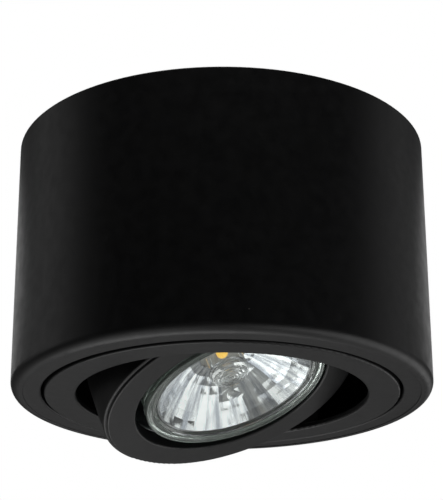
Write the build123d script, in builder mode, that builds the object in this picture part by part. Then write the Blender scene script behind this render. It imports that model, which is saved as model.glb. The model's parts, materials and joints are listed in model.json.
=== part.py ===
from build123d import *
from math import asin, cos, degrees, radians, sin, sqrt
import os

# Surface mounted ceiling spotlight. Millimetres and degrees.
# The origin is the middle of the ceiling face, +Z points up into the ceiling, so the light hangs below z = 0.

# ---- driving dimensions -------------------------------------------------------------------------------------

drum_radius = 56.0            # outside of the spun drum
drum_height = 69.6
drum_wall = 1.5
bead_radius = 2.6             # rolled edge between the drum's wall and its lip
lip_step = 0.25               # the lip lies this far above the bead's lowest line
lip_start = 52.7              # radius where the bead ends and the lip starts
mouth_radius = 48.0           # opening inside the turned-in lip

plate_radius = 54.0           # ceiling plate, inside the drum's open end
plate_thickness = 1.5
ear_width = 12.0
ear_length = 13.0
ear_face = 53.9               # outer face of a folded ear, from the middle
drum_screw_drop = 8.0         # height of the two drum screws below the ceiling
slot_spacing = 60.0           # between the centres of the two ceiling screw slots
slot_width = 5.0
slot_length = 12.0
cable_bore = 8.0              # diameter of the grommet's hole

pan_face = -69.7              # lower face of the swivel ring
pan_thickness = 1.8
pan_outer = 47.2
pan_inner = 38.75
pan_rim_top = -63.4
pan_rim_wall = 1.6

pivot_height = -60.8          # the tilt axis crosses the drum's axis here
tilt_angle = 22.7             # how far the head is tilted in the rest pose
aim_azimuth = -35.1           # compass direction that the head leans to, from +X towards +Y
clip_azimuths = (aim_azimuth, aim_azimuth + 120, aim_azimuth + 240)

head_front = -8.8             # front face of the tilting ring, measured along the head's axis from the pivot
head_radius = 35.4
head_wall = 1.65
head_back = 7.4
bore_radius = 26.8
pivot_boss_face = 37.5        # flat face of a pivot boss, from the head's axis

lamp_radius = 25.0            # a 50 mm reflector lamp
lamp_shift = (0.25, -1.35)     # the lamp stands this far off the head's axis, held only by its base
lamp_base_end = 39.4          # shoulder of the lamp's base, where its pins start
pin_spacing = 10.0
facet_columns = 30

fit = 0.05                    # radial play of a pin in its hole
m3_radius = 1.5               # drum screws and block screws
m4_radius = 2.0               # earth screw and pivots
bend_radius = 1.2             # outside of a fold in 1.5 mm sheet

# ---- shared planes and helpers ------------------------------------------------------------------------------

aim = Vector(
    sin(radians(tilt_angle)) * cos(radians(aim_azimuth)),
    sin(radians(tilt_angle)) * sin(radians(aim_azimuth)),
    -cos(radians(tilt_angle)),
)
pivot_direction = Vector(-sin(radians(aim_azimuth)), cos(radians(aim_azimuth)), 0)
pivot_point = Vector(0, 0, pivot_height)

# The head's own plane: local x along the tilt axis, local z up the lamp's axis, away from the light.
head = Plane(origin=pivot_point, x_dir=pivot_direction, z_dir=aim * -1)
head_section = Plane(origin=pivot_point, x_dir=head.x_dir, z_dir=head.y_dir * -1)
bridge_section = Plane(origin=pivot_point, x_dir=head.y_dir, z_dir=head.x_dir)
lamp_origin = pivot_point + head.x_dir * lamp_shift[0] + head.y_dir * lamp_shift[1]
lamp = Plane(origin=lamp_origin, x_dir=head.x_dir, z_dir=head.z_dir)
lamp_section = Plane(origin=lamp_origin, x_dir=head.x_dir, z_dir=head.y_dir * -1)
head_axis = Axis(origin=pivot_point, direction=head.z_dir)
lamp_axis = Axis(origin=lamp_origin, direction=head.z_dir)


def corner(sketch, x, y):
    """The sketch's vertex nearest to (x, y) in its own plane."""
    return sketch.vertices().sort_by_distance((x, y, 0))[0]


def radial_plane(azimuth, radius, height, base=Plane.XY):
    """A plane that faces outwards at an azimuth: local x runs along the circle, local y up base's axis."""
    outwards = base.x_dir.rotate(Axis(base.origin, base.z_dir), azimuth)
    place = base.origin + outwards * radius + base.z_dir * height
    return Plane(origin=place, x_dir=base.z_dir.cross(outwards), z_dir=outwards)


def section_plane(azimuth):
    """A plane through the drum's axis: local x runs outwards at the azimuth and local y up."""
    outwards = Vector(cos(radians(azimuth)), sin(radians(azimuth)), 0)
    return Plane(origin=(0, 0, 0), x_dir=outwards, z_dir=outwards.cross(Vector(0, 0, 1)))


def save(builder, name):
    builder.part.label = name
    export_step(builder.part, f"parts/{name}.step")


os.makedirs("parts", exist_ok=True)

# ---- drum ---------------------------------------------------------------------------------------------------

drum_bore = drum_radius - drum_wall
lip_face = -drum_height + lip_step
lip_back = lip_face + drum_wall
mouth_rounding = 0.6
top_edge_break = 0.2
drum_screw_planes = [Plane(origin=(side * drum_radius, 0, -drum_screw_drop), z_dir=(side, 0, 0)) for side in (1, -1)]

with BuildPart() as housing_drum:
    with BuildSketch(Plane.XZ) as drum_section:
        with BuildLine():
            Polyline(
                (drum_bore, 0),
                (drum_radius, 0),
                (drum_radius, -drum_height),
                (lip_start, -drum_height),
                (lip_start, lip_face),
                (mouth_radius, lip_face),
                (mouth_radius, lip_back),
                (drum_bore, lip_back),
                close=True,
            )
        make_face()
        fillet(corner(drum_section, drum_radius, -drum_height), bead_radius)
        fillet(corner(drum_section, lip_start, -drum_height), lip_step * 0.8)
        fillet(corner(drum_section, drum_bore, lip_back), bend_radius)
        fillet(corner(drum_section, mouth_radius, lip_face), mouth_rounding)
        chamfer(corner(drum_section, drum_radius, 0), top_edge_break)
    revolve(axis=Axis.Z)
    with Locations(*drum_screw_planes):
        CounterSinkHole(radius=m3_radius + 0.1, counter_sink_radius=3.2, depth=2 * drum_wall)
save(housing_drum, "housing_drum")

# ---- ceiling plate with its dished cable hole, slots and folded ears ----------------------------------------

dish_radius = 11.0
dish_depth = 1.3
dish_taper = 20
ear_rounding = 3.0
grommet_hole = 6.5
block_centre = 39.0           # the terminal block's distance from the middle, along +Y
block_screw_spacing = 9.6
earth_centre = -34.0          # the earth screw's place, along -Y

with BuildPart() as ceiling_plate:
    with BuildSketch():
        Circle(plate_radius)
        Rectangle(2 * ear_face, 2 * plate_radius, mode=Mode.INTERSECT)
    extrude(amount=-plate_thickness)
    with BuildSketch():
        with Locations((ear_face - plate_thickness / 2, 0), (plate_thickness / 2 - ear_face, 0)):
            Rectangle(plate_thickness, ear_width)
    extrude(amount=-ear_length)
    folds = ceiling_plate.edges().filter_by(Axis.Y).group_by(Axis.Z)[-1]
    fillet(folds, bend_radius)
    ear_corners = ceiling_plate.edges().filter_by(Axis.X).group_by(Axis.Z)[0]
    fillet(ear_corners, ear_rounding)
    with BuildSketch(Plane.XY.offset(-plate_thickness)):
        Circle(dish_radius + plate_thickness)
    extrude(amount=-dish_depth, taper=dish_taper)
    with BuildSketch():
        Circle(dish_radius)
    extrude(amount=-dish_depth, taper=dish_taper, mode=Mode.SUBTRACT)
    with BuildSketch():
        Circle(grommet_hole)
        with Locations((slot_spacing / 2, 0), (-slot_spacing / 2, 0)):
            SlotOverall(slot_length, slot_width)
        with Locations((block_screw_spacing / 2, block_centre), (-block_screw_spacing / 2, block_centre)):
            Circle(m3_radius)
        with Locations((0, earth_centre)):
            Circle(m4_radius)
    extrude(amount=-2 * plate_thickness, mode=Mode.SUBTRACT)
    with Locations(*drum_screw_planes):
        Hole(radius=m3_radius, depth=8)
save(ceiling_plate, "ceiling_plate")


screw_point = 0.4             # chamfer at a screw's tip
head_edge = 0.25              # straight edge of a countersunk head


def turned_screw(plane, outline, head_radius, recess_depth, rounding=0.0):
    """A screw turned from its outline, whose head top is at the outline's first point, with a cross recess."""
    top = outline[0][1]
    with BuildPart() as screw:
        with BuildSketch(Plane.XZ) as profile:
            with BuildLine():
                Polyline(*outline, close=True)
            make_face()
            if rounding:
                fillet(corner(profile, head_radius, top), rounding)
        revolve(axis=Axis.Z)
        if recess_depth:
            with BuildSketch(Plane.XY.offset(top)):
                Rectangle(head_radius, head_radius * 0.3)
                Rectangle(head_radius * 0.3, head_radius)
            extrude(amount=-recess_depth, mode=Mode.SUBTRACT)
    return plane.location * screw.part


def countersunk_screw(plane, head_radius, shank_radius, length):
    """Its head lies flush with the plane and its shank runs down from it."""
    outline = [
        (0, 0),
        (head_radius, 0),
        (head_radius, -head_edge),
        (shank_radius, shank_radius - head_radius - head_edge),
        (shank_radius, screw_point - length),
        (shank_radius - screw_point, -length),
        (0, -length),
    ]
    return turned_screw(plane, outline, head_radius, 1.0)


def pan_head_screw(plane, head_radius, head_height, shank_radius, length, cross=True):
    """Its head stands on the plane and its shank runs down from it."""
    outline = [
        (0, head_height),
        (head_radius, head_height),
        (head_radius, 0),
        (shank_radius, 0),
        (shank_radius, screw_point - length),
        (shank_radius - screw_point, -length),
        (0, -length),
    ]
    recess = head_height * 0.6 if cross else 0
    return turned_screw(plane, outline, head_radius, recess, rounding=head_height * 0.45)


def group(pieces, name):
    """Save separate solids that share one node."""
    node = Compound(children=list(pieces))
    node.label = name
    export_step(node, f"parts/{name}.step")


flush = 0.15                  # the screw heads lie this far below the drum's curved surface
group(
    [countersunk_screw(plane.offset(-flush), 2.75, m3_radius - fit, 6.0) for plane in drum_screw_planes],
    "drum_screws",
)

# ---- cable grommet ------------------------------------------------------------------------------------------

dish_top = -dish_depth
dish_bottom = -dish_depth - plate_thickness
grommet_flange = 8.6
grommet_face = -0.2           # its upper flange stays this far below the ceiling
grommet_rounding = 0.6
grommet_taper = 0.8
flange_thickness = 1.6
with BuildPart() as cable_grommet:
    with BuildSketch(Plane.XZ) as grommet_section:
        with BuildLine():
            Polyline(
                (cable_bore / 2, grommet_face),
                (grommet_flange, grommet_face),
                (grommet_flange, dish_top + fit),
                (grommet_hole - fit, dish_top + fit),
                (grommet_hole - fit, dish_bottom - fit),
                (grommet_flange, dish_bottom - fit),
                (grommet_flange - grommet_taper, dish_bottom - flange_thickness),
                (cable_bore / 2, dish_bottom - flange_thickness),
                close=True,
            )
        make_face()
        lower_edge = corner(grommet_section, grommet_flange - grommet_taper, dish_bottom - flange_thickness)
        fillet(lower_edge, grommet_rounding)
    revolve(axis=Axis.Z)
save(cable_grommet, "cable_grommet")

# ---- terminal block, three poles ----------------------------------------------------------------------------

pole_pitch = 9.6
pole_width = 8.2
block_depth = 17.0
block_top = -plate_thickness - fit
barrel_height = -7.4          # the wire barrels' axis
block_bottom = -11.5
tower_bottom = -13.0
clamp_offset = 4.3            # each pole's two screws, either side of its middle
tower_radius = 3.2
clamp_hole = 1.7
barrel_radius = 2.05
wire_hole = 1.4
barrel_length = 14.4
web_thickness = 4.0           # the block is this thick between its poles
web_share = 0.6               # and this much of its depth
clamp_head = -12.2            # lower end of a clamping screw
clamp_shoulder = -9.9
driver_slot = 0.6
pole_places = [(step * pole_pitch, block_centre) for step in (-1, 0, 1)]
clamp_places = [(x, y + side * clamp_offset) for x, y in pole_places for side in (-1, 1)]

with BuildPart() as terminal_block:
    with BuildSketch(Plane.XY.offset(block_top)):
        with Locations((0, block_centre)):
            RectangleRounded(2 * pole_pitch + pole_width, block_depth * web_share, 1.0)
    extrude(amount=-web_thickness)
    with BuildSketch(Plane.XY.offset(block_top)):
        with Locations(*pole_places):
            RectangleRounded(pole_width, block_depth, 1.2)
    extrude(amount=block_bottom - block_top)
    with BuildSketch(Plane.XY.offset(block_bottom)):
        with Locations(*clamp_places):
            Circle(tower_radius)
    extrude(amount=tower_bottom - block_bottom)
    with BuildSketch(Plane.XZ.offset(-block_centre)):
        with Locations(*[(x, barrel_height) for x, y in pole_places]):
            Circle(barrel_radius + fit)
    extrude(amount=block_depth, both=True, mode=Mode.SUBTRACT)
    with BuildSketch(Plane.XY.offset(tower_bottom)):
        with Locations(*clamp_places):
            Circle(clamp_hole)
    extrude(amount=barrel_height - tower_bottom, mode=Mode.SUBTRACT)
    with BuildSketch(Plane.XY.offset(block_top)):
        with Locations((block_screw_spacing / 2, block_centre), (-block_screw_spacing / 2, block_centre)):
            Circle(m3_radius + 0.1)
    extrude(amount=-block_depth, mode=Mode.SUBTRACT)
    with BuildSketch(Plane.XY.offset(block_top - web_thickness)):
        with Locations((block_screw_spacing / 2, block_centre), (-block_screw_spacing / 2, block_centre)):
            Circle(2 * m3_radius)
    extrude(amount=-block_depth, mode=Mode.SUBTRACT)
save(terminal_block, "terminal_block")

with BuildPart() as terminal_barrels:
    with BuildSketch(Plane.XZ.offset(-block_centre)):
        with Locations(*[(x, barrel_height) for x, y in pole_places]):
            Circle(barrel_radius)
            Circle(wire_hole, mode=Mode.SUBTRACT)
    extrude(amount=barrel_length / 2, both=True)
    with BuildSketch(Plane.XY.offset(tower_bottom)):
        with Locations(*clamp_places):
            Circle(wire_hole - fit)
    extrude(amount=barrel_height - tower_bottom, mode=Mode.SUBTRACT)
save(terminal_barrels, "terminal_barrels")

with BuildPart() as terminal_screws:
    with BuildSketch(Plane.XY.offset(clamp_shoulder)):
        with Locations(*clamp_places):
            Circle(clamp_hole - 2 * fit)
    extrude(amount=clamp_head - clamp_shoulder)
    with BuildSketch(Plane.XY.offset(clamp_shoulder)):
        with Locations(*clamp_places):
            Circle(wire_hole - 2 * fit)
    extrude(amount=1.8)
    with BuildSketch(Plane.XY.offset(clamp_head)):
        with Locations(*clamp_places):
            Rectangle(2 * barrel_radius, driver_slot)
    extrude(amount=0.8, mode=Mode.SUBTRACT)
save(terminal_screws, "terminal_screws")

block_screw_planes = [
    Plane(origin=(side * block_screw_spacing / 2, block_centre, block_top - web_thickness - fit), z_dir=(0, 0, -1))
    for side in (1, -1)
]
group([pan_head_screw(plane, 2.6, 1.9, m3_radius - fit, 5.3) for plane in block_screw_planes], "block_screws")

# ---- earth screw and its washer -----------------------------------------------------------------------------

washer_thickness = 0.8
with BuildPart() as earth_washer:
    with BuildSketch(Plane.XY.offset(-plate_thickness - fit)):
        with Locations((0, earth_centre)):
            RegularPolygon(2.2 * m4_radius, 16)
            Circle(m4_radius + 3 * fit, mode=Mode.SUBTRACT)
    extrude(amount=-washer_thickness)
save(earth_washer, "earth_washer")

earth_plane = Plane(origin=(0, earth_centre, -plate_thickness - washer_thickness - 2 * fit), z_dir=(0, 0, -1))
group([pan_head_screw(earth_plane, 3.8, 2.6, m4_radius - fit, 2.2)], "earth_screw")

# ---- swivel ring --------------------------------------------------------------------------------------------

pan_back = pan_face + pan_thickness
pivot_ear_inner = 38.9
pivot_ear_thickness = 2.0
pivot_ear_radius = 5.6
pivot_azimuths = (aim_azimuth + 90, aim_azimuth - 90)
clip_boss_place = 42.8
clip_boss_radius = 2.8
rivet_radius = 1.1
weld = 0.2                    # joined shapes reach this far into each other

with BuildPart() as pan_ring:
    with BuildSketch(Plane.XZ) as pan_section:
        with BuildLine():
            Polyline(
                (pan_inner, pan_face),
                (pan_outer, pan_face),
                (pan_outer, pan_rim_top),
                (pan_outer - pan_rim_wall, pan_rim_top),
                (pan_outer - pan_rim_wall, pan_back),
                (pan_inner, pan_back),
                close=True,
            )
        make_face()
        fillet(corner(pan_section, pan_inner, pan_face), 0.6)
        fillet(corner(pan_section, pan_outer, pan_face), 0.5)
        fillet(corner(pan_section, pan_inner, pan_back), 0.4)
        fillet(corner(pan_section, pan_outer - pan_rim_wall, pan_back), 0.8)
    revolve(axis=Axis.Z)
    for azimuth in pivot_azimuths:
        with BuildSketch(radial_plane(azimuth, pivot_ear_inner, pivot_height)) as ear_profile:
            Circle(pivot_ear_radius)
            with Locations((0, (pan_back - pivot_height) / 2 - weld)):
                Rectangle(2 * pivot_ear_radius, pivot_height - pan_back + 2 * weld)
        extrude(amount=pivot_ear_thickness)
    for azimuth in pivot_azimuths:
        with BuildSketch(radial_plane(azimuth, pivot_ear_inner - 1, pivot_height)):
            Circle(m4_radius + fit)
        extrude(amount=pivot_ear_thickness + 2, mode=Mode.SUBTRACT)
    with BuildSketch(Plane.XY.offset(pan_back - weld)):
        for azimuth in clip_azimuths:
            with PolarLocations(clip_boss_place, 1, start_angle=azimuth):
                Circle(clip_boss_radius)
                with Locations((clip_boss_radius / 2, 0)):
                    Rectangle(clip_boss_radius, 2 * clip_boss_radius)
    extrude(amount=pan_rim_top - pan_back + weld)
    with BuildSketch(Plane.XY.offset(pan_rim_top)):
        for azimuth in clip_azimuths:
            with PolarLocations(clip_boss_place, 1, start_angle=azimuth):
                Circle(rivet_radius)
    extrude(amount=-3.5, mode=Mode.SUBTRACT)
save(pan_ring, "pan_ring")

# ---- spring clips that hang the swivel ring on the drum's lip, and their rivets -----------------------------

clip_thickness = 0.5
clip_width = 8.0
clip_level = pan_rim_top + fit + clip_thickness / 2
clip_touch = lip_back + fit + clip_thickness / 2


def retaining_clip(azimuth):
    """A leaf that runs out over the lip, bends down to rest on it and curls up at its tip."""
    with BuildPart() as clip:
        with BuildSketch(section_plane(azimuth)):
            with BuildLine() as path:
                FilletPolyline(
                    (40.2, clip_level),
                    (48.0, clip_level),
                    (50.4, clip_touch),
                    (52.6, clip_touch + 1.6),
                    radius=0.8,
                )
            trace(path.line, line_width=clip_thickness)
        extrude(amount=clip_width / 2, both=True)
        with BuildSketch(Plane.XY.offset(clip_level + clip_thickness)):
            with PolarLocations(clip_boss_place, 1, start_angle=azimuth):
                Circle(rivet_radius + 0.1)
        extrude(amount=-2 * clip_thickness, mode=Mode.SUBTRACT)
    return clip.part


group([retaining_clip(azimuth) for azimuth in clip_azimuths], "retaining_clips")

rivet_seat = clip_level + clip_thickness / 2 + fit
rivet_planes = [
    Plane(origin=(clip_boss_place * cos(radians(a)), clip_boss_place * sin(radians(a)), rivet_seat))
    for a in clip_azimuths
]
group([pan_head_screw(plane, 2.1, 1.1, rivet_radius - fit, 3.4, cross=False) for plane in rivet_planes], "clip_rivets")

# ---- friction washers and shouldered screws of the tilt pivots ----------------------------------------------


def pivot_washer(azimuth):
    with BuildPart() as washer:
        with BuildSketch(radial_plane(azimuth, pivot_boss_face + 0.1, pivot_height)):
            Circle(2.2 * m4_radius)
            Circle(m4_radius + 2 * fit, mode=Mode.SUBTRACT)
        extrude(amount=pivot_ear_inner - pivot_boss_face - 0.2)
    return washer.part


group([pivot_washer(azimuth) for azimuth in pivot_azimuths], "pivot_washers")

pivot_screw_seat = pivot_ear_inner + pivot_ear_thickness + 0.1
pivot_screw_tip = 33.2
pivot_screw_planes = [radial_plane(azimuth, pivot_screw_seat, pivot_height) for azimuth in pivot_azimuths]
group(
    [pan_head_screw(plane, 3.5, 2.2, m4_radius, pivot_screw_seat - pivot_screw_tip) for plane in pivot_screw_planes],
    "pivot_screws",
)

# ---- tilting ring -------------------------------------------------------------------------------------------

front_thickness = 1.6
front_back = head_front + front_thickness
head_bore = head_radius - head_wall
inner_lip_wall = 1.2
inner_lip_top = -4.3
edge_step = 0.9               # the front face is this much smaller than the ring's wall
step_back = head_front + 0.7
pivot_boss_radius = 4.6
foot_boss_radius = 2.1
foot_hole = 1.25
foot_boss_place = 30.75
foot_boss_top = -3.3

with BuildPart() as tilt_ring:
    with BuildSketch(head_section) as tilt_profile:
        with BuildLine():
            Polyline(
                (bore_radius, head_front),
                (head_radius - edge_step, head_front),
                (head_radius - edge_step, step_back),
                (head_radius, step_back),
                (head_radius, head_back),
                (head_bore, head_back),
                (head_bore, front_back),
                (bore_radius + inner_lip_wall, front_back),
                (bore_radius + inner_lip_wall, inner_lip_top),
                (bore_radius, inner_lip_top),
                close=True,
            )
        make_face()
        fillet(corner(tilt_profile, head_radius - edge_step, head_front), 0.45)
        fillet(corner(tilt_profile, head_radius, step_back), 0.6)
        fillet(corner(tilt_profile, bore_radius, head_front), 0.5)
        fillet(corner(tilt_profile, head_radius, head_back), 0.4)
    revolve(axis=head_axis)
    for azimuth in (0, 180):
        with BuildSketch(radial_plane(azimuth, head_bore + 0.4, 0, head)):
            Circle(pivot_boss_radius)
        extrude(amount=pivot_boss_face - head_bore - 0.4)
        with BuildSketch(radial_plane(azimuth, head_bore - 2, 0, head)):
            Circle(m4_radius + fit)
        extrude(amount=8, mode=Mode.SUBTRACT)
    with BuildSketch(head.offset(front_back - weld)):
        with PolarLocations(foot_boss_place, 2, start_angle=90):
            Circle(foot_boss_radius)
    extrude(amount=foot_boss_top - front_back + weld)
    with BuildSketch(head.offset(foot_boss_top)):
        with PolarLocations(foot_boss_place, 2, start_angle=90):
            Circle(foot_hole)
    extrude(amount=-3.6, mode=Mode.SUBTRACT)
save(tilt_ring, "tilt_ring")

# ---- bridge that carries the lampholder, folded from one steel strip ----------------------------------------

strip_thickness = 1.0
strip_width = 11.0
foot_level = foot_boss_top + fit + strip_thickness / 2
bridge_level = 52.0
leg_radius = 28.2
leg_bend = 9.0
bridge_half = 17.5
foot_end = 31.9
bridge_right = [
    (foot_end, foot_level),
    (leg_radius, foot_level),
    (leg_radius, leg_bend),
    (bridge_half, bridge_level),
]
bridge_left = [(-x, y) for x, y in reversed(bridge_right)]
bend_radii = [0.8, 6.0, 1.4, 1.4, 6.0, 0.8]
holder_screw_place = 8.5
holder_screw_hole = 1.65
lead_hole = 3.5               # the lamp's leads pass here

with BuildPart() as lamp_bracket:
    with BuildSketch(bridge_section):
        with BuildLine() as bridge_path:
            FilletPolyline(*bridge_right, *bridge_left, radius=bend_radii)
        trace(bridge_path.line, line_width=strip_thickness)
    extrude(amount=strip_width / 2, both=True)
    with BuildSketch(head.offset(foot_level + strip_thickness)):
        with PolarLocations(foot_boss_place, 2, start_angle=90):
            Circle(foot_hole + 0.1)
    extrude(amount=-2 * strip_thickness, mode=Mode.SUBTRACT)
    with BuildSketch(head.offset(bridge_level + strip_thickness)):
        with PolarLocations(holder_screw_place, 2, start_angle=90):
            Circle(holder_screw_hole)
        Circle(lead_hole)
    extrude(amount=-2 * strip_thickness, mode=Mode.SUBTRACT)
save(lamp_bracket, "lamp_bracket")

foot_screw_planes = [
    head.offset(foot_level + strip_thickness / 2 + fit) * Pos(0, side * foot_boss_place, 0) for side in (1, -1)
]
group(
    [pan_head_screw(Plane(place), 1.7, 1.3, foot_hole - fit, 4.2, cross=False) for place in foot_screw_planes],
    "bracket_screws",
)

# ---- lampholder ---------------------------------------------------------------------------------------------

holder_radius = 13.5
holder_mouth = 33.5
holder_split = 47.0
holder_back = bridge_level - strip_thickness / 2 - fit
base_end_radius = 11.2
contact_level = 46.15
pin_slot = 5.6                # width of a curved slot
pin_travel = CenterArc((0, 0), pin_spacing / 2, -12, 42)  # the pins enter at one end and lock at the other

with BuildPart() as lampholder_body:
    with BuildSketch(lamp.offset(holder_mouth)):
        Circle(holder_radius)
    extrude(amount=holder_split - holder_mouth)
    fillet(lampholder_body.edges().group_by(head_axis)[0], 1.0)
    with BuildSketch(lamp.offset(holder_mouth)):
        Circle(base_end_radius + 0.5)
    extrude(amount=lamp_base_end - holder_mouth + 0.1, mode=Mode.SUBTRACT)
    with BuildSketch(lamp.offset(lamp_base_end)):
        with PolarLocations(0, 2):
            SlotArc(pin_travel, height=pin_slot)
    extrude(amount=holder_split - lamp_base_end, mode=Mode.SUBTRACT)
    with BuildSketch(head.offset(holder_split)):
        with PolarLocations(holder_screw_place, 2, start_angle=90):
            Circle(holder_screw_hole - 0.2)
    extrude(amount=-3.0, mode=Mode.SUBTRACT)
save(lampholder_body, "lampholder_body")

with BuildPart() as lampholder_cover:
    with BuildSketch(lamp.offset(holder_split + fit)):
        Circle(holder_radius)
    extrude(amount=holder_back - holder_split - fit)
    fillet(lampholder_cover.edges().group_by(head_axis)[-1], 1.5)
    with BuildSketch(head.offset(holder_back)):
        with PolarLocations(holder_screw_place, 2, start_angle=90):
            Circle(holder_screw_hole - fit)
        with PolarLocations(pin_spacing / 2, 2):
            Circle(holder_screw_hole - fit)
    extrude(amount=-8.0, mode=Mode.SUBTRACT)
save(lampholder_cover, "lampholder_cover")

with BuildPart() as lampholder_contacts:
    with BuildSketch(lamp.offset(contact_level)):
        with PolarLocations(pin_spacing / 2, 2):
            Rectangle(4.2, 4.6)
    extrude(amount=0.6)
save(lampholder_contacts, "lampholder_contacts")

holder_screw_planes = [
    head.offset(bridge_level + strip_thickness / 2 + fit) * Pos(0, side * holder_screw_place, 0) for side in (1, -1)
]
group(
    [pan_head_screw(Plane(place), 2.7, 1.9, 1.4, 8.0) for place in holder_screw_planes],
    "lampholder_screws",
)

# ---- lamp ---------------------------------------------------------------------------------------------------

glass_wall = 1.7
rim_thickness = 2.6
seat_radius = 22.3            # the front glass lies in this seat
seat_ledge = 0.5
neck_radius = 12.6
neck_height = 27.5
envelope_bulge = 36.0
glass_front = head_front + 0.5

with BuildPart() as lamp_envelope:
    with BuildSketch(lamp_section) as envelope_section:
        with BuildLine():
            outside = RadiusArc(
                (lamp_radius - 0.7, head_front + rim_thickness), (neck_radius, neck_height), -envelope_bulge
            )
            Polyline(
                outside @ 1,
                (neck_radius - glass_wall, neck_height),
            )
            inside = RadiusArc(
                (neck_radius - glass_wall, neck_height),
                (seat_radius - seat_ledge, head_front + rim_thickness + 0.6),
                envelope_bulge - glass_wall,
            )
            Polyline(
                inside @ 1,
                (seat_radius - seat_ledge, head_front + rim_thickness),
                (seat_radius, head_front + rim_thickness),
                (seat_radius, head_front),
                (lamp_radius, head_front),
                (lamp_radius, head_front + rim_thickness),
                outside @ 0,
            )
        make_face()
        fillet(corner(envelope_section, lamp_radius, head_front), 0.5)
        fillet(corner(envelope_section, seat_radius, head_front), 0.4)
    revolve(axis=lamp_axis)
save(lamp_envelope, "lamp_envelope")

glass_radius = seat_radius - 0.1
glass_back = glass_front + 1.9
dome_radius = 500.0           # the glass is very slightly domed
dome_angle = degrees(asin(glass_radius / dome_radius))
dome_centre = glass_front + sqrt(dome_radius ** 2 - glass_radius ** 2)
with BuildPart() as lamp_front_glass:
    with BuildSketch(lamp_section):
        with BuildLine():
            dome = CenterArc((0, dome_centre), dome_radius, -90, dome_angle)
            Polyline(dome @ 1, (glass_radius, glass_back), (0, glass_back), dome @ 0)
        make_face()
    revolve(axis=lamp_axis)
save(lamp_front_glass, "lamp_front_glass")

# The mirror is a stack of flat facets: thirty-sided rings that narrow towards the emitter.
facet_rings = [
    (21.0, -6.1), (19.3, -4.4), (17.5, -2.8), (15.5, -1.2), (13.4, 0.3), (11.2, 1.5), (8.9, 2.5), (6.6, 3.0),
]
mirror_wall = 0.5
throat_ledge = 0.4

with BuildPart() as lamp_reflector:
    with BuildSketch(lamp_section):
        with BuildLine():
            outer_points = [(radius + mirror_wall, height + mirror_wall) for radius, height in facet_rings]
            Polyline(
                (0, facet_rings[0][1]),
                (outer_points[0][0], facet_rings[0][1]),
                *outer_points,
                (0, outer_points[-1][1]),
                close=True,
            )
        make_face()
    revolve(axis=lamp_axis)
    for (wide, low), (narrow, high) in zip(facet_rings, facet_rings[1:]):
        with BuildSketch(lamp.offset(low)):
            RegularPolygon(wide, facet_columns)
        with BuildSketch(lamp.offset(high)):
            RegularPolygon(narrow, facet_columns)
        loft(ruled=True, mode=Mode.SUBTRACT)
    with BuildSketch(lamp.offset(facet_rings[-1][1])):
        Circle(facet_rings[-1][0] - throat_ledge)
    extrude(amount=3, mode=Mode.SUBTRACT)
save(lamp_reflector, "lamp_reflector")

board_level = facet_rings[-1][1] + 0.6
board_thickness = 1.2
board_radius = 9.5
board_hole_place = 8.0
emitter_radius = 1.5
emitter_height = 1.3
with BuildPart() as led_board:
    with BuildSketch(lamp.offset(board_level)):
        Circle(board_radius)
        with PolarLocations(board_hole_place, 2):
            Circle(0.9, mode=Mode.SUBTRACT)
    extrude(amount=board_thickness)
save(led_board, "led_board")

with BuildPart() as led_emitter:
    with BuildSketch(lamp.offset(board_level - fit)):
        Circle(emitter_radius)
    extrude(amount=-emitter_height)
    fillet(led_emitter.edges().group_by(head_axis)[0], emitter_height * 0.8)
save(led_emitter, "led_emitter")

# The lens is a clear plate with moulded rings that stands in front of the emitter on three slim legs.
lens_front = head_front + 6.1
lens_back = lens_front + 1.6
lens_flange = 5.5
flange_step = 0.7
lens_leg_place = 4.9
lens_leg_radius = 0.55
lens_leg_turn = 33
lens_steps = [(4.9, 0.0), (3.9, 0.45), (2.8, 0.75), (1.6, 0.95)]
with BuildPart() as lamp_lens:
    with BuildSketch(lamp.offset(lens_back)):
        Circle(lens_flange)
    extrude(amount=-flange_step)
    with BuildSketch(lamp.offset(lens_back)):
        Circle(lens_steps[0][0])
    extrude(amount=lens_front - lens_back)
    for radius, rise in lens_steps[1:]:
        with BuildSketch(lamp.offset(lens_front)):
            Circle(radius)
        extrude(amount=-rise)
    with BuildSketch(lamp.offset(lens_back - weld)):
        with PolarLocations(lens_leg_place, 3, start_angle=lens_leg_turn):
            Circle(lens_leg_radius)
    extrude(amount=board_level - fit - lens_back + weld)
save(lamp_lens, "lamp_lens")

collar_radius = 13.2
collar_end = 31.5
cone_end = 33.2
with BuildPart() as lamp_base:
    with BuildSketch(lamp_section) as base_section:
        with BuildLine():
            Polyline(
                (0, neck_height + fit),
                (collar_radius, neck_height + fit),
                (collar_radius, collar_end),
                (base_end_radius, cone_end),
                (base_end_radius, lamp_base_end),
                (0, lamp_base_end),
                close=True,
            )
        make_face()
        fillet(corner(base_section, collar_radius, collar_end), 1.0)
        fillet(corner(base_section, base_end_radius, lamp_base_end), 0.8)
    revolve(axis=lamp_axis)
save(lamp_base, "lamp_base")

pin_radius = 1.6
pin_head_radius = 2.5
pin_head_level = 43.2
with BuildPart() as lamp_pins:
    with BuildSketch(lamp.offset(lamp_base_end + fit)):
        with PolarLocations(pin_spacing / 2, 2):
            Circle(pin_radius)
    extrude(amount=pin_head_level + weld - lamp_base_end)
    with BuildSketch(lamp.offset(pin_head_level)):
        with PolarLocations(pin_spacing / 2, 2):
            Circle(pin_head_radius)
    extrude(amount=2.8)
save(lamp_pins, "lamp_pins")
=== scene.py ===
# %% [markdown]
# A surface mounted ceiling spotlight
#
# The light is a matt black drum of spun aluminium, screwed to the ceiling. A swivel ring turns in its mouth, and a
# smaller ring tilts in that one and holds a 50 mm reflector lamp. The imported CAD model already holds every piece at
# its real size, so this script never models the drum again: it loads that frame, gives each piece its finish, and
# makes new surfaces only where the eye wants more than a plain solid, as in the lamp's faceted mirror.

import json
from math import cos, pi, radians, sin

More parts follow.
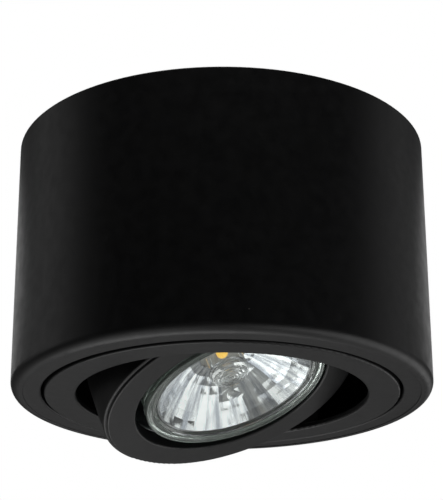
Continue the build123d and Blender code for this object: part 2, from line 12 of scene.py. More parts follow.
import bpy
import numpy as np
from mathutils import Matrix


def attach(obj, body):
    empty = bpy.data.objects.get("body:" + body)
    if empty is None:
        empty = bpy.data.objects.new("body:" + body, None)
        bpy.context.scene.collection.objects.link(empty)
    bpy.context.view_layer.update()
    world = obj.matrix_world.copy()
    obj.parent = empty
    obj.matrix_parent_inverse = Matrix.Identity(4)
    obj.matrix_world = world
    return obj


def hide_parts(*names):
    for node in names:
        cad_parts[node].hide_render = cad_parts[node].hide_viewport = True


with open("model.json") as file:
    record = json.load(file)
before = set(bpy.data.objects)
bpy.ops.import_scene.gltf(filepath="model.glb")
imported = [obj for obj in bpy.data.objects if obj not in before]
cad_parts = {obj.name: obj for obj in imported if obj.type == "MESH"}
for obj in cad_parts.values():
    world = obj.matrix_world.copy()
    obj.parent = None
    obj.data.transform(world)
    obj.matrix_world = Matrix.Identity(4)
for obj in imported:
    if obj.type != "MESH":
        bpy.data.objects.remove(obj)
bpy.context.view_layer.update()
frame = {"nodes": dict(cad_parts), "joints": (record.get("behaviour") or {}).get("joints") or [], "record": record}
nodes = frame["nodes"]
joints = {joint["name"]: joint for joint in frame["joints"]}

# %% [markdown]
# The camera
#
# The photograph was taken from below, with a long lens and the camera tipped up. With the drum's size taken as known,
# the way its upper and lower rims narrow and spread fixes the lens, the distance and the tip. Those numbers were
# fitted once, with the lens looking through the middle of the picture. They are written here as a photographer would
# note them: how far away, how far below the ceiling, how steeply up, and how many pixels the lens draws for one unit
# of slope.

# %% Set up the camera
camera_distance = 0.42557       # metres in front of the drum's axis
camera_drop = 0.19512           # metres below the ceiling
camera_pitch = radians(21.519)  # tipped up
camera_roll = radians(-0.222)
pixels_per_slope = 1661.9       # the lens's focal length, in pixels of the photograph
photo_height = 500              # pixels, the long side
sensor_height = 36.0            # millimetres

forward = np.array([0.0, cos(camera_pitch), sin(camera_pitch)])
right = np.array([1.0, 0.0, 0.0])
upward = np.cross(right, forward)
turned_right = cos(camera_roll) * right + sin(camera_roll) * upward
turned_up = cos(camera_roll) * upward - sin(camera_roll) * right

lens = bpy.data.cameras.new("photo_camera")
lens.sensor_fit = "VERTICAL"
lens.sensor_height = sensor_height
lens.lens = sensor_height * pixels_per_slope / photo_height
lens.clip_start = 0.01
camera = bpy.data.objects.new("photo_camera", lens)
camera_pose = np.eye(4)
camera_pose[:3, 0], camera_pose[:3, 1], camera_pose[:3, 2] = turned_right, turned_up, -forward
camera_pose[:3, 3] = (0.0, -camera_distance, -camera_drop)
camera.matrix_world = Matrix(camera_pose.tolist())
bpy.context.scene.collection.objects.link(camera)
bpy.context.scene.camera = camera
bpy.context.scene.view_settings.view_transform = "Standard"
print("lens:", round(lens.lens, 1), "mm")

# %% [markdown]
# Colours and nodes
#
# Colours are noted as they look on a screen, in sRGB hex. A shader adds light, so it needs them linear, and one
# function turns them. A second one adds a node with its settings and links, so that each finish below reads as a
# short recipe. Pattern sizes are thought of in millimetres, while textures take repeats per metre.

# %% Helpers for finishes
def linear(hex_colour):
    """An sRGB hex colour as the linear red, green, blue and alpha that a shader works with."""
    srgb = np.array([int(hex_colour[i:i + 2], 16) for i in (1, 3, 5)]) / 255
    values = np.where(srgb <= 0.04045, srgb / 12.92, ((srgb + 0.055) / 1.055) ** 2.4)
    return (*values.tolist(), 1.0)


def per_metre(millimetres):
    """A texture's scale for features of this size, as repeats per metre."""
    return 1000.0 / millimetres


def add(tree, kind, inputs=None, **settings):
    """Adds a node. Settings are its properties; inputs give each socket a value or another node's output."""
    node = tree.nodes.new(kind)
    for name, value in settings.items():
        setattr(node, name, value)
    for socket, value in (inputs or {}).items():
        if isinstance(value, bpy.types.NodeSocket):
            tree.links.new(value, node.inputs[socket])
        else:
            node.inputs[socket].default_value = value
    return node


def finish(name, **sockets):
    """A new material named for the real one, its node tree, its shader and the Object coordinates it can read."""
    material = bpy.data.materials.new(name)
    material.use_nodes = True
    tree = material.node_tree
    shader = tree.nodes["Principled BSDF"]
    for socket, value in sockets.items():
        shader.inputs[socket.replace("_", " ")].default_value = value
    place = add(tree, "ShaderNodeTexCoord").outputs["Object"]
    return material, tree, shader, place


def noise(tree, place, size, detail=2.0, stretch=None):
    """Cloudy noise whose blobs are size millimetres across, drawn out along an axis where stretch says so."""
    if stretch:
        place = add(tree, "ShaderNodeMapping", {"Vector": place, "Scale": stretch}).outputs["Vector"]
    inputs = {"Vector": place, "Scale": per_metre(size), "Detail": detail}
    return add(tree, "ShaderNodeTexNoise", inputs).outputs["Fac"]


def spread(tree, factor, low, high, start=0.3, end=0.7):
    """A noise factor spread over the range from low to high."""
    inputs = {"Value": factor, "From Min": start, "From Max": end, "To Min": low, "To Max": high}
    return add(tree, "ShaderNodeMapRange", inputs).outputs["Result"]


def blend_colour(tree, factor, first, second):
    """A colour that goes from first to second, each a hex value or a node's output, as factor goes from 0 to 1."""
    first_socket, second_socket, result = 6, 7, 2  # a Mix node numbers its colour sockets after those for numbers
    first, second = (linear(colour) if isinstance(colour, str) else colour for colour in (first, second))
    inputs = {"Factor": factor, first_socket: first, second_socket: second}
    return add(tree, "ShaderNodeMix", inputs, data_type="RGBA").outputs[result]


def tinted(tree, shader, factor, first, second):
    """Gives the shader a base colour that goes from first to second as factor goes from 0 to 1."""
    tree.links.new(blend_colour(tree, factor, first, second), shader.inputs["Base Color"])


def roughened(tree, shader, factor, low, high):
    """Gives the shader a roughness that goes from low to high with a noise factor."""
    tree.links.new(spread(tree, factor, low, high), shader.inputs["Roughness"])


def bump(tree, shader, height, depth, under=None):
    """Tilts the shader's normal by a height map that is depth millimetres deep, on top of another bump or none."""
    inputs = {"Height": height, "Distance": depth / 1000, "Strength": 1.0}
    if under:
        inputs["Normal"] = under
    normal = add(tree, "ShaderNodeBump", inputs).outputs["Normal"]
    tree.links.new(normal, shader.inputs["Normal"])
    return normal


# %% [markdown]
# Powder coat
#
# The drum and both rings are sprayed with dry polyester powder that melts in an oven. It flows into a very fine
# orange peel, so highlights spread wide and soft, and the black never goes quite dead. A real orange peel is about
# half a millimetre from crest to crest. A few specks of dust sit on it, as the photograph shows along the lip.

# %% Powder coat
def powder_coat():
    """Matt black powder coat: a soft wide sheen with a trace of orange peel."""
    peel_size, grain_size, peel_depth, grain_depth = 0.7, 0.22, 0.006, 0.003
    dust_cell, dust_radius, clean_share = 7.0, 0.11, 0.72
    material, tree, shader, place = finish("black_powder_coat", IOR=1.5)
    tint = blend_colour(tree, noise(tree, place, size=14.0, detail=4.0), "#0b0b0c", "#131314")
    cells = add(tree, "ShaderNodeTexVoronoi", {"Vector": place, "Scale": per_metre(dust_cell)})
    near = add(tree, "ShaderNodeMath", {0: cells.outputs["Distance"], 1: dust_radius / dust_cell},
               operation="LESS_THAN").outputs[0]
    picked = add(tree, "ShaderNodeSeparateColor", {"Color": cells.outputs["Color"]}).outputs["Red"]
    rare = add(tree, "ShaderNodeMath", {0: picked, 1: clean_share}, operation="GREATER_THAN").outputs[0]
    speck = add(tree, "ShaderNodeMath", {0: near, 1: rare}, operation="MULTIPLY").outputs[0]
    tinted(tree, shader, speck, tint, "#8b8986")
    roughened(tree, shader, noise(tree, place, size=3.0, detail=3.0), 0.38, 0.46)
    peel = bump(tree, shader, noise(tree, place, peel_size, detail=1.0), peel_depth)
    bump(tree, shader, noise(tree, place, grain_size), grain_depth, under=peel)
    return material


# %% [markdown]
# Metals
#
# Everything behind the black is plain hardware. Bright zinc plate is slightly blue and cloudy, with the rolling lines
# of the sheet under it. Spring strip is smoother and darker. Brass is turned, so its sheen is tight, and blackened
# screws are steel with a dark oxide skin that still shines like metal where it is handled.

# %% Metals
def zinc_plate():
    """Bright zinc on rolled steel: cloudy, slightly blue, with fine rolling lines that soften its reflections."""
    material, tree, shader, place = finish("bright_zinc_plate", Metallic=1.0)
    tinted(tree, shader, noise(tree, place, size=6.0, detail=5.0), "#a9aeb4", "#c6c9cb")
    lines = noise(tree, place, size=0.5, stretch=(1.0, 0.04, 1.0))
    roughened(tree, shader, lines, 0.26, 0.42)
    bump(tree, shader, lines, depth=0.002)
    return material


def spring_strip():
    """Hardened spring steel: darker and smoother than the plate, with a straw tint where it was tempered."""
    material, tree, shader, place = finish("spring_steel", Metallic=1.0)
    tinted(tree, shader, noise(tree, place, size=5.0, detail=3.0), "#83868a", "#958f86")
    roughened(tree, shader, noise(tree, place, size=0.4), 0.2, 0.3)
    return material


def black_oxide():
    """Blackened screw steel: a dark metal whose handled edges gleam."""
    material, tree, shader, place = finish("black_oxide_steel", Metallic=1.0)
    tinted(tree, shader, noise(tree, place, size=0.8, detail=3.0), "#2b2b2d", "#3d3c3d")
    roughened(tree, shader, noise(tree, place, size=0.3), 0.32, 0.48)
    return material


def turned_brass():
    """Free-cutting brass from the lathe: warm, bright, slightly dulled in patches."""
    material, tree, shader, place = finish("turned_brass", Metallic=1.0)
    tinted(tree, shader, noise(tree, place, size=2.0, detail=4.0), "#b8923f", "#d9b968")
    roughened(tree, shader, noise(tree, place, size=0.25), 0.22, 0.38)
    return material


def nickel_plate():
    """Nickel on the lamp's pins: a smooth, slightly yellow metal."""
    material, tree, shader, place = finish("nickel_plate", Metallic=1.0)
    tinted(tree, shader, noise(tree, place, size=1.5, detail=3.0), "#b9b4a6", "#cfcbc0")
    roughened(tree, shader, noise(tree, place, size=0.3), 0.12, 0.24)
    return material


# %% [markdown]
# Plastics, rubber and ceramic
#
# The terminal block is natural nylon, milky and a little waxy. The lampholder is steatite, a fired ceramic that is
# left unglazed, so it is dry, faintly speckled and rough to a fingernail. The lamp's own base is a heat-proof
# plastic, and the grommet is soft black rubber with the bloom that rubber gets.

# %% Plastics, rubber and ceramic
def natural_nylon():
    """Undyed moulded nylon: milky, with light that sinks a little way in."""
    material, tree, shader, place = finish("natural_nylon", IOR=1.53, Subsurface_Weight=0.15, Subsurface_Scale=0.001)
    tinted(tree, shader, noise(tree, place, size=5.0, detail=3.0), "#e2ddcb", "#ece8da")
    roughened(tree, shader, noise(tree, place, size=0.6), 0.36, 0.48)
    return material


def steatite():
    """Unglazed steatite: dry off-white ceramic with fine iron specks and a pressed grain."""
    material, tree, shader, place = finish("steatite_ceramic", IOR=1.6, Roughness=0.62)
    specks = spread(tree, noise(tree, place, size=0.35), low=1.0, high=0.0, start=0.22, end=0.34)
    tinted(tree, shader, specks, "#e6dfcf", "#a8977d")
    bump(tree, shader, noise(tree, place, size=0.3, detail=3.0), depth=0.012)
    return material


def heat_proof_plastic():
    """The lamp's moulded base: cool white, satin, very faintly textured."""
    material, tree, shader, place = finish("heat_proof_plastic", IOR=1.55, Roughness=0.42)
    tinted(tree, shader, noise(tree, place, size=8.0), "#dcdad4", "#e6e4df")
    bump(tree, shader, noise(tree, place, size=0.25), depth=0.004)
    return material


def soft_rubber():
    """Black rubber with a dusty bloom: almost no shine, a little grey at grazing angles."""
    material, tree, shader, place = finish("soft_rubber", IOR=1.5, Roughness=0.75, Sheen_Weight=0.15,
                                           Sheen_Roughness=0.5)
    tinted(tree, shader, noise(tree, place, size=2.5, detail=4.0), "#151515", "#242423")
    bump(tree, shader, noise(tree, place, size=0.3, detail=3.0), depth=0.01)
    return material


# %% [markdown]
# The lamp's optics
#
# A reflector lamp is pressed glass, greenish where one looks along it, with a mirror of vapour-deposited aluminium
# inside and a clear front. Glass needs no pattern of its own to look right, only a true thickness and the faint
# waviness of the mould. The phosphor over the emitter is a soft yellow-orange gel.

# %% Optics
def pressed_glass():
    """
    Pressed soda glass: clear with a green cast, its surface slightly wavy from the mould. A trace of milkiness lifts it
    toward the pale band of the photograph.
    """
    material, tree, shader, place = finish("pressed_glass", IOR=1.52, Transmission_Weight=0.86, Roughness=0.03)
    shader.inputs["Base Color"].default_value = linear("#e9f6ee")
    bump(tree, shader, noise(tree, place, size=2.2), depth=0.02)
    return material


def clear_glass():
    """The front glass: float glass, flat and clear, with only a breath of waviness."""
    material, tree, shader, place = finish("clear_front_glass", IOR=1.5, Transmission_Weight=1.0, Roughness=0.0)
    shader.inputs["Base Color"].default_value = linear("#fafdfb")
    bump(tree, shader, noise(tree, place, size=6.0, detail=1.0), depth=0.003)
    return material


def moulded_acrylic():
    """The little ringed lens: clear moulded acrylic, with weak flow lines."""
    material, tree, shader, place = finish("clear_acrylic", IOR=1.49, Transmission_Weight=0.94, Roughness=0.02)
    shader.inputs["Base Color"].default_value = linear("#fbfcfc")
    bump(tree, shader, noise(tree, place, size=1.2, detail=1.0), depth=0.004)
    return material


def streaks(tree, around, along, detail):
    """Noise on a piece's unrolled surface, with so many streaks around its axis and along it."""
    unrolled = add(tree, "ShaderNodeUVMap", uv_map="unrolled").outputs["UV"]
    stretched = add(tree, "ShaderNodeMapping", {"Vector": unrolled, "Scale": (around, along, 1.0)}).outputs["Vector"]
    return add(tree, "ShaderNodeTexNoise", {"Vector": stretched, "Scale": 1.0, "Detail": detail}).outputs["Fac"]


def aluminium_mirror():
    """
    Vapour-deposited aluminium: a bright mirror with a thin haze. Grey bands from mouth to throat are painted into its
    colour as painted reflection: they make some stripes look grey, as darker things mirrored in them would. Fine draw
    lines, from where the mould was drawn, run along them. The bands are given.
    """
    material, tree, shader, place = finish("aluminised_mirror", Metallic=1.0)
    bump(tree, shader, streaks(tree, around=150.0, along=2.0, detail=2.0), depth=0.03)
    # Painted reflection: grey bands in the mirror's colour stand for darker things it would mirror.
    painted_reflection_bands = streaks(tree, around=46.0, along=1.2, detail=4.0)
    tinted(tree, shader, spread(tree, painted_reflection_bands, 0.0, 1.0, start=0.38, end=0.56), "#a9adb6", "#f4f5f7")
    roughened(tree, shader, noise(tree, place, size=1.6, detail=3.0), 0.05, 0.14)
    return material


def phosphor_gel():
    """
    Yellow-orange phosphor in clear gel. Its faint glow is painted light: it stands for the bluish light that it turns
    yellow, and keeps it bright in its shaded pit. The lamp itself isn't lit.
    """
    # The emission is painted light: a glow that keeps the phosphor bright in its shaded pit.
    material, tree, shader, place = finish("phosphor_gel", IOR=1.45, Roughness=0.35, Emission_Strength=0.9,
                                           Emission_Color=linear("#ffcf5c"))
    tinted(tree, shader, noise(tree, place, size=0.5), "#f5a828", "#ffc850")
    return material


def board_mask():
    """White solder mask on the lamp's round board: glossy, with faint copper lanes under it."""
    material, tree, shader, place = finish("white_solder_mask", IOR=1.5, Roughness=0.25)
    lanes = add(tree, "ShaderNodeTexWave", {"Vector": place, "Scale": per_metre(9.0), "Distortion": 0.0})
    tinted(tree, shader, spread(tree, lanes.outputs["Fac"], 0.0, 1.0, start=0.75, end=0.85), "#ebeae6", "#d9d6cf")
    return material


# %% [markdown]
# Dressing the CAD nodes
#
# The record names a material slot for every node. Each slot gets one finish from the recipes above, so the same black
# coats the drum and both rings, as one oven load would.

# %% Give every node its finish
finishes = {
    "powder_black": powder_coat(),
    "zinc_steel": zinc_plate(),
    "screw_black": black_oxide(),
    "spring_steel": spring_strip(),
    "grommet_rubber": soft_rubber(),
    "nylon_natural": natural_nylon(),
    "brass": turned_brass(),
    "steatite": steatite(),
    "pressed_glass": pressed_glass(),
    "mirror_coating": aluminium_mirror(),
    "clear_glass": clear_glass(),
    "clear_acrylic": moulded_acrylic(),
    "phosphor": phosphor_gel(),
    "white_board": board_mask(),
    "lamp_base_plastic": heat_proof_plastic(),
    "nickel_pin": nickel_plate(),
}
slot_of = {part["node"]: part["material_slot"] for part in frame["record"]["subparts"]}
for node, thing in nodes.items():
    thing.data.materials.clear()
    thing.data.materials.append(finishes[slot_of[node]])
print("finishes:", len(finishes))

# %% [markdown]
# Where the lamp points
#
# The lamp's pieces share an axis that leans out of the drum. The tilt joint already knows it: the middle of its range
# is the head pointing straight down, so turning "down" about the joint's axis by the way back from there gives the
# way the lamp looks at rest. New optics are drawn about that axis and then carried to it by one matrix.

# %% The lamp's own axes
tilt = joints["head_tilt"]
pivot_axis = -np.array(tilt["axis"])
pivot_axis /= np.linalg.norm(pivot_axis)
lean = radians(sum(tilt["range_deg"]) / 2)
down = np.array([0.0, 0.0, -1.0])
lamp_back = -(cos(lean) * down + sin(lean) * np.cross(pivot_axis, down))


def points_of(node):
    """A CAD node's vertices in metres, as an array."""
    flat = np.zeros(len(nodes[node].data.vertices) * 3)
    nodes[node].data.vertices.foreach_get("co", flat)
    return flat.reshape(-1, 3)


glass_points = points_of("lamp_front_glass")
glass_middle = (glass_points.min(axis=0) + glass_points.max(axis=0)) / 2
lamp_axes = np.stack([pivot_axis, np.cross(lamp_back, pivot_axis), lamp_back])


def lamp_view(node):
    """A node's points as (distance from the lamp's axis, height up it from the front glass's middle)."""
    local = (points_of(node) - glass_middle) @ lamp_axes.T
    return np.hypot(local[:, 0], local[:, 1]), local[:, 2]


for node in ("lamp_envelope", "lamp_front_glass", "lamp_reflector", "lamp_lens", "led_emitter"):
    reach, height = lamp_view(node)
    print(node, "radius", np.round(1000 * reach.max(), 2), "from", np.round(1000 * height.min(), 2),
          "to", np.round(1000 * height.max(), 2), "mm")


def turned(profile, angles):
    """
    A turned surface. Each profile point (distance from the axis, height up it) becomes a ring of points: the distance
    times the cosine and sine of every angle, at that height.
    """
    profile = np.asarray(profile, float)
    level = np.broadcast_to(profile[:, 1:], (len(profile), len(angles)))
    return np.stack([profile[:, :1] * np.cos(angles), profile[:, :1] * np.sin(angles), level], axis=-1)


def ring_mesh(name, rings, slot, body, node=None, crisp=None):
    """
    A closed piece, in a CAD node's place if one is given. rings is an array (ring, column, 3) of points in the lamp's
    own axes, in metres. Each ring is joined to the next and the last one back to the first, so the surface is a closed
    tube and needs no poles. crisp is a true-or-false array for (ring, column, 2): whether the edge from that point to
    the next column, and the one to the next ring, stays sharp.
    """
    count, columns = rings.shape[:2]
    ring, column = np.meshgrid(np.arange(count), np.arange(columns), indexing="ij")
    after, beside = (ring + 1) % count, (column + 1) % columns
    quads = np.stack([ring * columns + column, after * columns + column,
                      after * columns + beside, ring * columns + beside], axis=-1).reshape(-1, 4)
    mesh = bpy.data.meshes.new(name)
    mesh.from_pydata((rings.reshape(-1, 3) @ lamp_axes + glass_middle).tolist(), [], quads.tolist())
    mesh.shade_smooth()
    if crisp is not None:
        ends = np.zeros(len(mesh.edges) * 2, dtype=np.int32)
        mesh.edges.foreach_get("vertices", ends)
        first, second = ends.reshape(-1, 2).T
        level = first // columns == second // columns
        along = np.where((first + columns) % (count * columns) == second, first, second)
        around = np.where((first // columns * columns + (first + 1) % columns) == second, first, second)
        flat = crisp.reshape(-1, 2)
        mesh.attributes.new("sharp_edge", "BOOLEAN", "EDGE").data.foreach_set(
            "value", np.where(level, flat[around, 0], flat[along, 1]))
    loops = np.zeros(len(mesh.loops), dtype=np.int32)
    mesh.loops.foreach_get("vertex_index", loops)
    around_piece = loops % columns
    around_piece = np.where((around_piece == 0) & (np.tile([0, 0, 1, 1], len(loops) // 4) == 1), columns, around_piece)
    unrolled = np.stack([around_piece / columns, loops // columns / count], axis=-1)
    mesh.uv_layers.new(name="unrolled").data.foreach_set("uv", unrolled.ravel())
    mesh.materials.append(finishes[slot])
    piece = bpy.data.objects.new(name, mesh)
    bpy.context.scene.collection.objects.link(piece)
    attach(piece, body)
    if node:
        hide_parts(node)
    print(name, "faces:", len(mesh.polygons))


# %% [markdown]
# The mirror
#
# Inside the lamp is a bowl of about two hundred small mirrors. Pressing gives each a face of its own, slightly
# pillowed and never quite true to its neighbours, and that is what breaks the room's reflection into bright and grey
# streaks. A smooth bowl would show one clean picture instead. The bowl's corners are laid out first: thirty columns,
# seven rows, on a curve that is flat at the throat and steep at the mouth. Each column of corners is then moved a
# little up or down at random, and each corner a trace more, while the mouth's rim stays level. Between its four
# corners a facet is a ruled patch plus a low pillow that vanishes at its borders, so neighbours always meet.

# %% Press the mirror
facet_columns, facet_rows, patch = 30, 7, 5
mirror_wall, throat_ledge = 0.0005, 0.0004
throat_edge = 0.0066
bowl_power, row_power = 1.6, 0.92
column_play, corner_play, pillow = 0.00030, 0.00004, 0.00007

mirror_reach, mirror_height = lamp_view("lamp_reflector")
mouth_edge, mouth_level = mirror_reach.max() - mirror_wall, mirror_height.min()
throat_level = mirror_height.max() - mirror_wall
share = np.linspace(1, 0, facet_rows + 1)
corner_radius = throat_edge + (mouth_edge - throat_edge) * share ** row_power
opened = (corner_radius - throat_edge) / (mouth_edge - throat_edge)
corner_level = throat_level - (throat_level - mouth_level) * opened ** bowl_power
random = np.random.default_rng(11)
play = random.normal(0.0, column_play, facet_columns) * np.sqrt(opened)[:, None]
play = play + random.normal(0.0, corner_play, (facet_rows + 1, facet_columns))
play[0] = 0.0
corners = turned(np.stack([corner_radius, corner_level], axis=-1), 2 * pi * np.arange(facet_columns) / facet_columns)
corners[..., 2] += play

row, column = np.arange(facet_rows * patch + 1), np.arange(facet_columns * patch)
cell = np.minimum(row // patch, facet_rows - 1)
down_facet = (row / patch - cell)[:, None, None]
across_facet = (column % patch / patch)[None, :, None]
near, far = column // patch, (column // patch + 1) % facet_columns
upper = corners[cell][:, near] * (1 - across_facet) + corners[cell][:, far] * across_facet
lower = corners[cell + 1][:, near] * (1 - across_facet) + corners[cell + 1][:, far] * across_facet
bowl = upper * (1 - down_facet) + lower * down_facet
full_middle = 16  # brings a (1 - a) d (1 - d) to one in the middle of a facet
pillows = pillow * full_middle * across_facet * (1 - across_facet) * down_facet * (1 - down_facet)
bowl[..., 2] -= pillows[..., 0]

throat_bore = throat_edge - throat_ledge
back = [(throat_bore, throat_level), (throat_bore, throat_level + mirror_wall)]
back += [(r + mirror_wall, z + mirror_wall) for r, z in zip(corner_radius[::-1], corner_level[::-1])]
back += [(mouth_edge + mirror_wall, mouth_level)]
rings = np.concatenate([bowl, turned(back, 2 * pi * column / len(column))])
crisp = np.ones((*rings.shape[:2], 2), dtype=bool)
crisp[:len(row), :, 0] = (row % patch == 0)[:, None]
crisp[:, :, 1] = False
crisp[:len(row) - 1, ::patch, 1] = True
ring_mesh("mirror_bowl", rings, "mirror_coating", "head", "lamp_reflector", crisp)

# %% [markdown]
# The glass bell
#
# The lamp's body is pressed from a gob of glass in a mould. Its front edge is fire-polished: a small round lip outside,
# a shallow groove, and a second lip around the seat of the front glass. Those two lips draw the two thin bright rings
# of the photograph, and the groove between them shows the green of the glass. It is turned from one closed profile:
# two arcs for the bell's walls and two small half-round lips at the front.

# %% Press the glass bell
bell_reach, bell_level = lamp_view("lamp_envelope")
bell_front, bell_end, bell_radius = bell_level.min(), bell_level.max(), bell_reach.max()
rim_depth, shoulder, glass_wall, neck = 0.0026, 0.0007, 0.0017, 0.0126
outer_arc, seat, ledge, ledge_rise = 0.036, 0.0223, 0.0005, 0.0006
lip, inner_lip, groove = 0.00042, 0.00028, 0.0006
groove_foot = 3 * inner_lip
arc_steps, lip_steps, bell_columns = 24, 7, 144


def bulged(start, end, radius, steps):
    """Points on an arc of this radius from start to end, centred toward the axis: centre + radius (cos, sin)."""
    start, end = np.array(start), np.array(end)
    chord = end - start
    half = np.linalg.norm(chord) / 2
    inward = np.array([-abs(chord[1]), chord[0] * np.sign(chord[1])]) / (2 * half)
    centre = (start + end) / 2 + inward * np.sqrt(radius ** 2 - half ** 2)
    first, last = (np.arctan2(*(point - centre)[::-1]) for point in (start, end))
    angle = np.linspace(first, last, steps)
    return (centre + radius * np.stack([np.cos(angle), np.sin(angle)], axis=-1)).tolist()


def rounded(middle, level, radius):
    """A round lip from its outer side over the front to its inner side: half a turn about (middle, level)."""
    angle = -np.linspace(0, pi, lip_steps)
    return np.stack([middle + radius * np.cos(angle), level + radius * np.sin(angle)], axis=-1).tolist()


inner_wall = bulged((seat - ledge, bell_front + rim_depth + ledge_rise), (neck - glass_wall, bell_end),
                    outer_arc - glass_wall, arc_steps)
outer_wall = bulged((neck, bell_end), (bell_radius - shoulder, bell_front + rim_depth), outer_arc, arc_steps)
bell = [(seat, bell_front + rim_depth), (seat - ledge, bell_front + rim_depth)]
bell += inner_wall + outer_wall + [(bell_radius, bell_front + rim_depth)]
bell += rounded(bell_radius - lip, bell_front + lip, lip)
bell += [(seat + groove_foot, bell_front + groove)]
bell += rounded(seat + inner_lip, bell_front + groove, inner_lip)
bell_angles = 2 * pi * np.arange(bell_columns) / bell_columns
bell_rings = turned(bell, bell_angles)
bell_crisp = np.zeros((*bell_rings.shape[:2], 2), dtype=bool)
sharp = [0, 1, 2, 1 + arc_steps, 2 + arc_steps, 1 + 2 * arc_steps, 2 + 2 * arc_steps]
bell_crisp[sharp, :, 0] = True
ring_mesh("glass_bell", bell_rings, "pressed_glass", "head", "lamp_envelope", bell_crisp)

# %% [markdown]
# The ringed lens
#
# In front of the emitter stands a clear moulded plate. Its face is a shallow dome cut by rings, like a lighthouse lens
# pressed flat, and each ring's crest catches a thin line of light. Three slim legs carry it. The plate is turned
# from a profile: a dome that falls with the square of the radius, plus a rounded ripple for the rings, which fades out
# over the last eighth of the radius.

# %% Mould the ringed lens
lens_level = lamp_view("lamp_lens")[1]
lens_foot, lens_tip = lens_level.max(), lens_level.min()
lens_radius, lens_flange, flange_height = 0.0049, 0.0055, 0.0007
plate_depth = 0.00255
lens_back_level = lens_tip + plate_depth
dome_height, ring_count, ring_depth, ring_fade, pin_hole = 0.0006, 5, 0.00016, 8, 0.00001
lens_columns, lens_steps = 96, 61
leg_place, leg_radius, leg_turn, leg_columns = 0.0049, 0.00055, radians(33), 16

face_radius = np.linspace(pin_hole, lens_radius, lens_steps)
part = face_radius / lens_radius
ripple = ring_depth * (0.5 - 0.5 * np.cos(2 * pi * ring_count * part)) * np.minimum(1, ring_fade * (1 - part))
face_level = lens_tip + dome_height * part ** 2 + ring_depth - ripple
plate = list(zip(face_radius, face_level))
plate += [(lens_radius, lens_back_level - flange_height), (lens_flange, lens_back_level - flange_height)]
plate += [(lens_flange, lens_back_level), (pin_hole, lens_back_level)]
lens_angles = 2 * pi * np.arange(lens_columns) / lens_columns
plate_rings = turned(plate[::-1], lens_angles)
plate_crisp = np.zeros((*plate_rings.shape[:2], 2), dtype=bool)
hard_corners = 5  # the back, the flange and the edge of the face
plate_crisp[:hard_corners, :, 0] = True
ring_mesh("lens_plate", plate_rings, "clear_acrylic", "head", "lamp_lens", plate_crisp)

leg_angles = 2 * pi * np.arange(leg_columns) / leg_columns
for number in range(3):
    leg = turned([(pin_hole, lens_back_level), (pin_hole, lens_foot), (leg_radius, lens_foot),
                  (leg_radius, lens_back_level)], leg_angles)
    turn = leg_turn + number * 2 * pi / 3
    leg += np.array([leg_place * cos(turn), leg_place * sin(turn), 0.0])
    ring_mesh(f"lens_leg_{number}", leg, "clear_acrylic", "head", crisp=np.ones((*leg.shape[:2], 2), dtype=bool))

# %% [markdown]
# Light and floor
#
# The studio is a paper floor and a few soft boxes. Black objects show what they reflect and little else, so each box
# is placed by the reflection it makes. One at each side, a little above the drum, draws the grey bands that fade in
# from the drum's edges, and because they hang above the mouth they leave the recess dark. Five lower ones are for the
# lamp's mirror, whose facets look right, right and forward, right and back, left and low, and low behind the drum. A
# facet that looks between the boxes shows the dim floor instead, which makes the grey streaks. A box over the floor
# behind and a wide one overhead light the paper and the top. The world is dim, a little brighter behind and below
# the drum, where it gives the flat rings their even grey. What the camera itself sees of it is plain white.

# %% Light the studio
def area_light(name, place, target, width, height, power):
    """A soft rectangular light at a place, turned to face the target. It lights the object but isn't seen itself."""
    lamp = bpy.data.lights.new(name, "AREA")
    lamp.shape = "RECTANGLE"
    lamp.size, lamp.size_y, lamp.energy = width, height, power
    thing = bpy.data.objects.new(name, lamp)
    away = np.array(place, float) - np.array(target, float)
    away /= np.linalg.norm(away)
    across = np.cross([0.0, 0.0, 1.0], away)
    across /= np.linalg.norm(across)
    pose = np.eye(4)
    pose[:3, 0], pose[:3, 1], pose[:3, 2], pose[:3, 3] = across, np.cross(away, across), away, place
    thing.matrix_world = Matrix(pose.tolist())
    thing.visible_camera = False
    bpy.context.scene.collection.objects.link(thing)


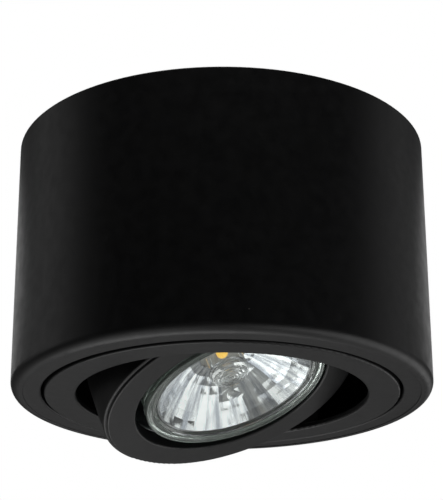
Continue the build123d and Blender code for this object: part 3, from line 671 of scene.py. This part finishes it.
drum_middle = (0.0, 0.0, -0.035)
area_light("left_side", (-0.62, 0.12, 0.14), drum_middle, width=0.45, height=0.4, power=0.20)
area_light("right_side", (0.62, 0.16, 0.14), drum_middle, width=0.45, height=0.4, power=0.14)
area_light("right_panel", (0.85, -0.05, -0.55), drum_middle, width=1.1, height=0.7, power=2.7)
area_light("front_right_panel", (0.50, -0.62, -0.75), drum_middle, width=0.45, height=0.45, power=0.65)
area_light("left_low_panel", (-0.45, -0.05, -0.85), drum_middle, width=0.8, height=0.45, power=0.85)
area_light("right_back_panel", (0.66, 0.66, -0.37), drum_middle, width=0.6, height=0.4, power=0.68)
area_light("back_low_panel", (-0.15, 0.45, -0.85), drum_middle, width=0.6, height=0.6, power=1.5)
area_light("floor_light", (0.0, 0.9, 0.2), (0.0, 0.95, -1.0), width=1.0, height=1.0, power=3.0)
area_light("top_fill", (0.0, 0.01, 1.5), drum_middle, width=1.6, height=1.6, power=16.0)

world = bpy.data.worlds.new("white_studio")
bpy.context.scene.world = world
world.use_nodes = True
sky = world.node_tree
sky.nodes.clear()
direction = add(sky, "ShaderNodeTexCoord").outputs["Generated"]
parts = add(sky, "ShaderNodeSeparateXYZ", {"Vector": direction})
behind = spread(sky, parts.outputs["Y"], low=0.015, high=0.08, start=-0.2, end=0.9)
lower = spread(sky, parts.outputs["Z"], low=1.0, high=0.4, start=-0.1, end=0.25)
glow = add(sky, "ShaderNodeMath", {0: behind, 1: lower}, operation="MULTIPLY").outputs[0]
seen = add(sky, "ShaderNodeLightPath").outputs["Is Camera Ray"]
lit = add(sky, "ShaderNodeBackground", {"Color": linear("#ffffff"), "Strength": glow})
plain = add(sky, "ShaderNodeBackground", {"Color": linear("#ffffff"), "Strength": 1.0})
mixed = add(sky, "ShaderNodeMixShader", {0: seen, 1: lit.outputs[0], 2: plain.outputs[0]})
add(sky, "ShaderNodeOutputWorld", {"Surface": mixed.outputs[0]})

floor_size, floor_level = 3.0, -1.0
floor_mesh = bpy.data.meshes.new("studio_floor")
floor_corners = [(x * floor_size, y * floor_size, floor_level) for x, y in ((-1, -1), (1, -1), (1, 1), (-1, 1))]
floor_mesh.from_pydata(floor_corners, [], [(0, 1, 2, 3)])
floor = bpy.data.objects.new("studio_floor", floor_mesh)
bpy.context.scene.collection.objects.link(floor)
paper, tree, shader, place = finish("white_paper", Roughness=0.9)
tinted(tree, shader, noise(tree, place, size=60.0), "#e6e6e5", "#ededec")
floor_mesh.materials.append(paper)
